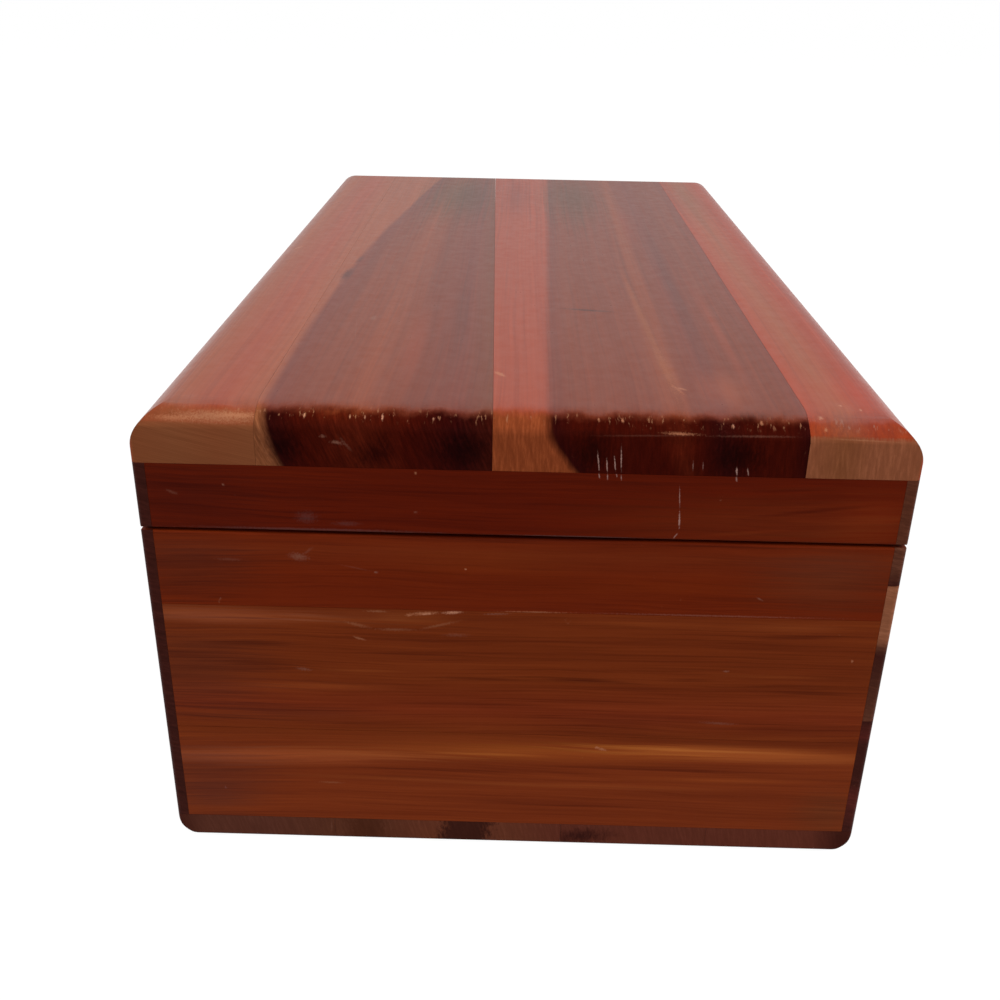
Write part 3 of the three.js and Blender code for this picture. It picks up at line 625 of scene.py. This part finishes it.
    yield lid_board(
        "lid_top_board_4", [(0, SAP_RED), (0.3, SAP), (0.55, SAP_RED), (1, SAP_RED)],
        slant=0.05, end_contrast=0.3, fray=0.15,
        marks=[
            tint(TOP, (-85, 50), (65, 10), (0.84, 0.98, 0.95)),
            tint(TOP, (100, 54), (14, 9), (1.12, 0.90, 0.80)),
            tint(TOP, (111.5, 54), (3.5, 12), (0.84, 0.98, 1.5)),
            # Along the ridge of the round: partly wear, partly a painted highlight of the arris
            line(END, (45, 83.7), (61, 83.3), 0.16, WORN, 0.5, soft=1.0),
            paint(TOP, (112.8, 47.5), (0.5, 0.4), CHIP, 0.6, soft=0.9),
            paint(TOP, (106.3, 51.2), (0.7, 0.35), SPARK, 0.5, soft=0.9),
            paint(TOP, (108.0, 54.0), (0.6, 0.3), SPARK, 0.5, soft=0.9),
            paint(TOP, (110.6, 47.0), (0.6, 0.5), SPARK, 0.5, soft=0.9),
            paint(TOP, (27.1, 55.3), (0.9, 0.3), CHIP, 0.4),
        ],
    )


def end_boards():
    """The rim and the three boards of the photographed end."""
    # A greyish colour, for smudges and for a painted highlight along the rim's eased lower edge
    haze_and_sheen = (0.12, 0.055, 0.050)
    yield end_board(
        "lid_rim_right_end", [(0, RIM), (1, RIM)], contrast=0.7,
        marks=[
            tint(END, (-55, 71), (26, 12), (0.78, 0.85, 1.6)),
            tint(END, (38, 69), (40, 8), (1.25, 1.9, 2.6), turn=4),
            tint(END, (52, 67.5), (20, 3.6), (1.2, 1.5, 1.6), turn=6),
            tint(END, (48, 71.2), (16, 0.6), (0.72, 0.62, 0.6), turn=8),
            tint(END, (42, 74.5), (14, 0.4), (0.75, 0.65, 0.6), turn=3),
            tint(END, (36, 66.8), (12, 0.5), (1.25, 1.4, 1.4), turn=6),
            tint(END, (58, 70.5), (12, 9), (1.35, 1.5, 1.5)),
            line(END, (25.0, 75.3), (25.4, 70.4), 0.13, SCRATCH, 0.5),
            line(END, (25.4, 70.8), (25.6, 67.0), 0.20, SCRATCH, 0.75),
            line(END, (25.6, 66.8), (24.6, 65.2), 0.16, SCRATCH, 0.6),
            line(END, (11.9, 77), (12.1, 76.0), 0.16, SCRATCH, 0.7),
            line(END, (13.3, 77), (13.4, 75.6), 0.15, SCRATCH, 0.7),
            line(END, (14.7, 77), (14.9, 76.2), 0.15, SCRATCH, 0.6),
            line(END, (15.5, 77), (15.6, 75.6), 0.14, SCRATCH, 0.6),
            line(END, (33.9, 77), (34.1, 75.9), 0.2, SCRATCH, 0.5),
            # Painted highlight along the rim's eased lower edge, just above the seam
            line(END, (-5.4, 65.45), (24.4, 65.35), 0.22, haze_and_sheen, 0.7),
            line(END, (-60, 65.6), (-8, 65.5), 0.35, haze_and_sheen, 0.45),
            paint(END, (-35.6, 67.8), (2.4, 1.5), haze_and_sheen, 0.30, soft=1.0),
            paint(END, (-29.0, 66.8), (3.0, 0.6), haze_and_sheen, 0.30, soft=1.0),
            paint(END, (-48.8, 73.4), (0.3, 0.35), DUST, 0.6, soft=0.9),
            paint(END, (-57.3, 71.8), (1.3, 0.4), DUST, 0.25, turn=-20, soft=0.9),
            paint(END, (-17.5, 76.2), (0.4, 0.3), CHIP, 0.5, soft=0.9),
            paint(END, (-17.6, 69.2), (0.5, 0.3), DUST, 0.4, soft=0.9),
        ],
    )
    yield end_board(
        "right_end_upper", [(0, UPPER), (0.5, UPPER), (0.8, UPPER_BROWN), (1, UPPER)],
        contrast=0.55,
        marks=[
            tint(END, (-56, 58), (18, 9), (0.74, 0.95, 1.8)),
            tint(END, (52, 58), (18, 9), (0.95, 1.5, 2.8)),
            tint(END, (-6, 60), (24, 4), (1.12, 1.25, 1.1)),
            tint(END, (20, 56), (30, 3), (1.08, 1.15, 1.0)),
            # Painted shade along the board's top edge, under the seam to the lid
            tint(END, (0, 64.6), (62, 0.9), (0.55, 0.5, 0.6)),
            paint(END, (-37.3, 60.4), (2.2, 1.0), DUST, 0.55, turn=-8, soft=1.0),
            line(END, (-36.6, 60.8), (-34.6, 62.4), 0.4, DUST, 0.25, soft=1.0),
            paint(END, (-24.4, 57.8), (0.5, 0.3), DUST, 0.7, soft=0.9),
            line(END, (-31.0, 59.2), (-24.6, 57.9), 0.2, DUST, 0.2, soft=1.0),
            line(END, (-52, 59.7), (-46, 59.5), 0.4, DUST, 0.2, soft=1.0),
            paint(END, (-9.4, 58.8), (0.25, 0.25), CHIP, 0.6),
            line(END, (39.6, 54.8), (41.0, 54.0), 0.25, DUST, 0.5),
            line(END, (-6, 50.75), (10, 50.85), 0.25, CHIP, 0.45, soft=1.0),
            line(END, (6, 50.9), (59.4, 51.0), 0.25, DUST, 0.45, soft=1.0),
        ],
    )
    shade = (0.72, 0.66, 0.68)
    glow = (1.3, 1.55, 1.6)
    yield end_board(
        "right_end_middle", [(0, WALL), (0.2, WALL_RED), (0.45, WALL), (0.75, WALL), (1, WALL)],
        contrast=0.75, fibre=0.7,
        marks=[
            tint(END, (-57, 38), (22, 16), (0.78, 0.86, 1.4)),
            tint(END, (-52, 48.7), (24, 2.4), (1.6, 2.2, 3.7), soft=0.8),
            tint(END, (-30, 48.9), (14, 2.0), (1.3, 1.6, 2.0), soft=0.9),
            tint(END, (-18, 49.0), (10, 1.8), (1.35, 1.7, 1.9), soft=0.9),
            paint(END, (-16.5, 50.0), (3.6, 0.5), CHIP, 0.6, turn=5, soft=1.0),
            paint(END, (-11.6, 50.3), (2.2, 0.4), SPARK, 0.75, turn=4, soft=0.9),
            paint(END, (-16.0, 49.9), (1.2, 0.25), SPARK, 0.6, turn=8, soft=0.9),
            paint(END, (-19.0, 49.6), (0.8, 0.35), CHIP, 0.5, soft=0.9),
            paint(END, (-24.5, 50.2), (2.5, 0.3), WORN, 0.4, soft=0.9),
            line(END, (-31, 48.2), (-25, 46.7), 0.5, WORN, 0.3, soft=1.0),
            line(END, (-26, 46.6), (-17, 46.7), 0.4, WORN, 0.3, soft=1.0),
            line(END, (-18, 46.6), (-9.5, 48.9), 0.4, WORN, 0.3, soft=1.0),
            paint(END, (-27.7, 44.7), (1.5, 0.35), CHIP, 0.4, turn=-18, soft=0.9),
            line(END, (-7, 50.1), (-1, 50.4), 0.3, DUST, 0.5, soft=1.0),
            tint(END, (20, 49.0), (22, 1.2), (1.15, 1.25, 1.3)),
            tint(END, (46, 49.0), (14, 1.3), (1.2, 1.4, 1.6)),
            tint(END, (49, 47.2), (12, 0.8), shade, turn=2),
            tint(END, (-45, 39.3), (17, 1.0), shade),
            tint(END, (-48, 43.2), (12, 0.6), shade),
            tint(END, (-20, 41.8), (14, 0.5), shade),
            paint(END, (-37.8, 38.1), (1.8, 0.5), DUST, 0.4, turn=-8, soft=1.0),
            tint(END, (-28, 38.0), (12, 0.5), glow),
            tint(END, (-36, 34.6), (20, 1.2), glow),
            tint(END, (12.2, 37.1), (14, 0.6), (0.50, 0.42, 0.50), turn=-1),
            tint(END, (-6, 36.9), (14, 0.5), shade),
            tint(END, (30.3, 37.9), (8, 0.5), shade, turn=2),
            tint(END, (44, 38.9), (15, 0.5), glow),
            tint(END, (52, 35.8), (10, 0.6), shade),
            tint(END, (-5, 31.5), (22, 0.7), shade),
            tint(END, (-40, 28.5), (24, 2.5), (0.80, 0.85, 1.1)),
            tint(END, (20, 28.5), (24, 2.4), (0.80, 0.76, 0.85)),
            paint(END, (57.6, 42.5), (0.3, 0.4), CHIP, 0.5, soft=0.9),
            paint(END, (36.1, 39.8), (0.7, 0.3), DUST, 0.6, soft=0.9),
            line(END, (31.5, 28.9), (40, 28.6), 0.4, DUST, 0.35, soft=1.0),
            line(END, (-14, 45.8), (-8, 45.9), 0.5, DUST, 0.25, soft=1.0),
        ],
    )
    yield end_board(
        "right_end_lower", [(0, LOWER), (0.8, LOWER), (1, WALL)],
        contrast=0.6, fibre=0.7,
        marks=[
            tint(END, (-57, 14), (20, 12), (0.76, 0.86, 1.4)),
            tint(END, (-46, 18.9), (44, 2.7), (1.60, 2.1, 2.7), turn=1.2, soft=0.8),
            tint(END, (-14, 21.4), (34, 4.0), (1.20, 1.4, 1.3), turn=1, soft=0.9),
            tint(END, (12, 21.4), (34, 3.4), (1.35, 1.6, 1.4), soft=0.9),
            tint(END, (42, 22.1), (36, 2.4), (1.80, 2.5, 2.6), turn=-1, soft=0.8),
            tint(END, (36, 22.6), (24, 0.5), glow, turn=-1),
            tint(END, (-6, 20.6), (16, 0.5), glow),
            tint(END, (30, 18.2), (28, 0.8), (0.70, 0.64, 0.66)),
            tint(END, (-10, 16.8), (28, 0.9), (0.76, 0.70, 0.72)),
            tint(END, (-20, 14.4), (34, 0.7), glow, turn=-1),
            tint(END, (15, 13.9), (34, 1.0), glow),
            tint(END, (38, 16.0), (24, 1.0), (1.25, 1.4, 1.3)),
            tint(END, (10, 10.0), (40, 1.4), (0.82, 0.78, 0.85)),
            paint(END, (15.4, 22.4), (1.2, 0.4), CHIP, 0.6, turn=-15, soft=0.9),
            paint(END, (14.5, 22.7), (0.5, 0.4), SPARK, 0.4, soft=0.9),
            line(END, (-37, 13.3), (-31, 13.2), 0.3, WORN, 0.3, soft=1.0),
            tint(END, (58, 9), (9, 8), (0.84, 1.1, 1.4)),
            tint(END, (-56, 9), (12, 6), (0.84, 0.95, 1.3)),
        ],
    )


def lip_boards():
    """The front and back walls, whose end grain shows as a lip at each side of the end."""
    dark = [(0, LIP_DARK), (0.5, LIP_DARK), (1, LIP_DARK)]
    for node in ("front_wall_lower", "front_wall_middle", "front_wall_upper"):
        yield side_board(node, dark, contrast=0.8, end_contrast=0.5)
    yield side_board("lid_rim_front", [(0, LIP_DARK), (1, LIP_DARK)], end_contrast=0.5)
    yield side_board("lid_rim_back", [(0, RIM_BROWN), (1, RIM_BROWN)], end_contrast=0.4)
    yield side_board("back_wall_upper", [(0, LIP_DARK), (0.4, LIP_BROWN), (1, LIP_BROWN)])
    yield side_board(
        "back_wall_middle",
        [(0, LIP_BROWN), (0.5, LIP_DARK), (0.56, LIP_BROWN), (0.62, LIP_SAP), (1, LIP_SAP)],
        end_contrast=0.3,
    )
    yield side_board(
        "back_wall_lower",
        [
            (0, LIP_DARK), (0.33, LIP_RED), (0.45, LIP_DARK), (0.8, LIP_DARK), (0.86, LIP_RED),
            (1, LIP_DARK),
        ],
        end_contrast=0.4,
    )


def foot_boards():
    """The bottom's boards, whose end grain shows along the foot of the end."""
    yield foot_board(
        "bottom_board_1", [(0, FOOT_DARK), (0.18, FOOT_PURPLE), (0.6, FOOT_PURPLE), (1, FOOT)],
        marks=[line(END, (-34.5, 0.8), (-34.4, 4.6), 0.25, DUST, 0.3, soft=1.0)],
    )
    yield foot_board(
        "bottom_board_2",
        [(0, FOOT), (0.2, FOOT), (0.4, FOOT_PALE), (0.75, FOOT_PALE), (1, FOOT_RED)],
        marks=[
            tint(END, (-28.0, 2.5), (5.2, 9.0), (0.74, 0.68, 0.62), soft=0.7),
            tint(END, (-9.2, 2.4), (5.6, 15.0), DARKEN, turn=-18, soft=0.5),
        ],
    )
    yield foot_board(
        "bottom_board_3", [(0, FOOT_RED), (1, FOOT_RED)],
        marks=[tint(END, (12.5, 2.0), (8.5, 2.6), DARKEN, turn=8)],
    )
    yield foot_board(
        "bottom_board_4", [(0, FOOT_RED), (0.7, FOOT_RED), (0.9, FOOT_DARK), (1, FOOT_DARK)],
    )


LEFT_END_TONES = {
    "left_end_lower": [(0, WALL_DARK), (0.35, WALL), (0.7, WALL_RED), (1, WALL)],
    "left_end_middle": [(0, WALL_ORANGE), (0.12, WALL), (0.6, WALL_DARK), (0.8, WALL), (1, WALL_RED)],
    "left_end_upper": [(0, WALL_RED), (0.4, WALL), (0.55, WALL_DARK), (0.9, WALL), (1, WALL_ORANGE)],
    "lid_rim_left_end": [(0, RIM), (0.5, RIM_BROWN), (1, RIM)],
}


def all_boards():
    boards = dict(end_board(node, tones) for node, tones in LEFT_END_TONES.items())
    for group in (lid_boards(), end_boards(), lip_boards(), foot_boards()):
        boards.update(group)
    return boards


def smooth_rounds():
    """A node group that shades smoothly over all but sharp edges."""
    sharp = math.radians(27)
    weld = 0.000001
    tree = bpy.data.node_groups.new("smooth_rounds", "GeometryNodeTree")
    tree.interface.new_socket("Geometry", in_out="INPUT", socket_type="NodeSocketGeometry")
    tree.interface.new_socket("Geometry", in_out="OUTPUT", socket_type="NodeSocketGeometry")
    start = tree.nodes.new("NodeGroupInput")
    end = tree.nodes.new("NodeGroupOutput")
    angle = tree.nodes.new("GeometryNodeInputMeshEdgeAngle")
    compare = tree.nodes.new("FunctionNodeCompare")
    compare.operation = "GREATER_THAN"
    compare.inputs[1].default_value = sharp
    merge = tree.nodes.new("GeometryNodeMergeByDistance")
    merge.inputs["Distance"].default_value = weld
    faces = tree.nodes.new("GeometryNodeSetShadeSmooth")
    edges = tree.nodes.new("GeometryNodeSetShadeSmooth")
    edges.domain = "EDGE"
    edges.inputs["Shade Smooth"].default_value = False
    links = tree.links
    links.new(start.outputs[0], merge.inputs["Geometry"])
    links.new(merge.outputs[0], faces.inputs["Geometry"])
    links.new(faces.outputs[0], edges.inputs["Geometry"])
    links.new(angle.outputs["Unsigned Angle"], compare.inputs[0])
    links.new(compare.outputs[0], edges.inputs["Selection"])
    links.new(edges.outputs[0], end.inputs[0])
    return tree


def dress():
    """Gives every node its material and smooth rounds."""
    boards = all_boards()
    brass = metal("brass", (0.62, 0.42, 0.17), (0.30, 0.17, 0.07), 0.28, 1.0)
    screw_brass = metal("screw_brass", (0.56, 0.38, 0.15), (0.24, 0.14, 0.06), 0.32, 5.0)
    steel = metal("steel", (0.42, 0.42, 0.43), (0.20, 0.17, 0.15), 0.35, 9.0)
    smoothing = smooth_rounds()
    for index, (name, node) in enumerate(sorted(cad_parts.items())):
        if name in boards:
            material = cedar(f"cedar_{name}", boards[name], SEED_STEP * index)
        elif "screw" in name:
            material = screw_brass
        elif name in ("lock_bolt", "lock_spring") or name.endswith("_pin"):
            material = steel
        else:
            material = brass
        node.data.materials.clear()
        node.data.materials.append(material)
        node.modifiers.new("rounds", "NODES").node_group = smoothing
        weighted = node.modifiers.new("flat_faces", "WEIGHTED_NORMAL")
        weighted.keep_sharp = True


# The studio


def seen_directly(graph):
    """Two masks: 1 for what the camera sees straight, and 1 for what it sees mirrored."""
    path = graph.tree.nodes.new("ShaderNodeLightPath")
    glossy = graph.math("MAXIMUM", path.outputs["Is Glossy Ray"], path.outputs["Is Transmission Ray"])
    return path.outputs["Is Camera Ray"], glossy


def studio_floor():
    """A pale floor: white to the camera, with the chest's faint shadow on it."""
    reach = 12.0
    drop = -0.00005
    mesh = bpy.data.meshes.new("floor")
    turns = ((-1, -1), (1, -1), (1, 1), (-1, 1))
    corners = [(reach * x, reach * y, drop) for x, y in turns]
    mesh.from_pydata(corners, [], [(0, 1, 2, 3)])
    floor = bpy.data.objects.new("floor", mesh)
    bpy.context.scene.collection.objects.link(floor)

    graph = Graph("floor")
    camera, glossy = seen_directly(graph)
    lit = graph.add("ShaderNodeBsdfDiffuse", {"Color": (0.42, 0.42, 0.42)})
    shadowed = graph.add("ShaderNodeBsdfDiffuse", {"Color": (0.12, 0.12, 0.12)})
    white = graph.add("ShaderNodeEmission", {"Color": (1.0, 1.0, 1.0), "Strength": 0.93})
    seen = graph.add("ShaderNodeAddShader", {0: shadowed, 1: white})
    shows = graph.math("MAXIMUM", camera, glossy)
    graph.output(graph.add("ShaderNodeMixShader", {0: shows, 1: lit, 2: seen}))
    mesh.materials.append(graph.material)


class Sky(Graph):
    """The nodes of the world."""

    def __init__(self, name):
        world = bpy.data.worlds.new(name)
        bpy.context.scene.world = world
        world.use_nodes = True
        self.tree = world.node_tree
        self.tree.nodes.clear()

    def fading(self, rise, stops):
        return self.ramp(rise, [(place, (light, light, light)) for place, light in stops])


# The light from each height of the sky, from the horizon at 0 to overhead at 1
DOME_LIGHT = [(0.0, 0.35), (0.16, 0.5), (0.34, 1.0), (0.62, 0.9), (0.85, 0.25), (1.0, 0.15)]
BELT_LIGHT = [(0.0, 0.20), (0.16, 0.27), (0.34, 0.62), (0.56, 1.0), (0.74, 1.0), (0.9, 0.1)]


def studio_world():
    """White to the camera. A soft dome lights the chest, and what its gloss mirrors is a white
    belt round it that fades towards the ceiling and the horizon."""
    sky = Sky("studio")
    coordinates = sky.tree.nodes.new("ShaderNodeTexCoord")
    _, across, rise = sky.parts(coordinates.outputs["Generated"])
    dome = sky.fading(rise, DOME_LIGHT)
    belt = sky.fading(rise, BELT_LIGHT)
    belt = sky.blend(1.0, belt, (1.6, 1.6, 1.6), "MULTIPLY")
    aside = sky.step(sky.math("ABSOLUTE", across), 0.3, 0.65)
    belt = sky.blend(sky.times(aside, sky.step(rise, 0.34, 0.6)), belt, (0.1, 0.1, 0.1))
    camera, glossy = seen_directly(sky)
    light = sky.blend(glossy, dome, belt)
    light = sky.blend(camera, light, (1.0, 1.0, 1.0))
    background = sky.add("ShaderNodeBackground", {0: light})
    output = sky.tree.nodes.new("ShaderNodeOutputWorld")
    sky.tree.links.new(background, output.inputs[0])


def softbox(name, place, size, power):
    """A square area lamp aimed at the middle of the chest."""
    light = bpy.data.lights.new(name, "AREA")
    light.size = size
    light.energy = power
    lamp = bpy.data.objects.new(name, light)
    lamp.location = place
    aim = Vector((0, 0, HEIGHT * MM / 2)) - Vector(place)
    lamp.rotation_euler = aim.to_track_quat("-Z", "Y").to_euler()
    bpy.context.scene.collection.objects.link(lamp)


def studio_lamps():
    softbox("left_softbox", (0.25, -0.75, 0.75), 0.6, 5.0)
    softbox("right_softbox", (0.25, 0.75, 0.75), 0.6, 6.0)


def photo_camera():
    """The camera as fitted to the photograph's outline and board lines."""
    focal_pixels = 1120.8
    image_pixels = 1000
    sensor = 36.0
    place = Vector((0.2789, -0.0020, 0.1494))
    yaw, pitch, roll = (math.radians(angle) for angle in (0.64, 25.25, 1.09))
    level = math.cos(pitch)
    ahead = Vector((-level * math.cos(yaw), -level * math.sin(yaw), -math.sin(pitch)))
    right = ahead.cross(Vector((0, 0, 1))).normalized()
    up = right.cross(ahead)
    right, up = (
        right * math.cos(roll) + up * math.sin(roll),
        up * math.cos(roll) - right * math.sin(roll),
    )
    data = bpy.data.cameras.new("camera")
    data.sensor_width = sensor
    data.lens = focal_pixels / image_pixels * sensor
    data.clip_start = 0.01
    camera = bpy.data.objects.new("camera", data)
    camera.matrix_world = Matrix.Translation(place) @ Matrix((right, up, -ahead)).transposed().to_4x4()
    bpy.context.scene.collection.objects.link(camera)
    bpy.context.scene.camera = camera


photo_camera()
studio_floor()
studio_world()
studio_lamps()
dress()
bpy.context.scene.view_settings.view_transform = "Standard"
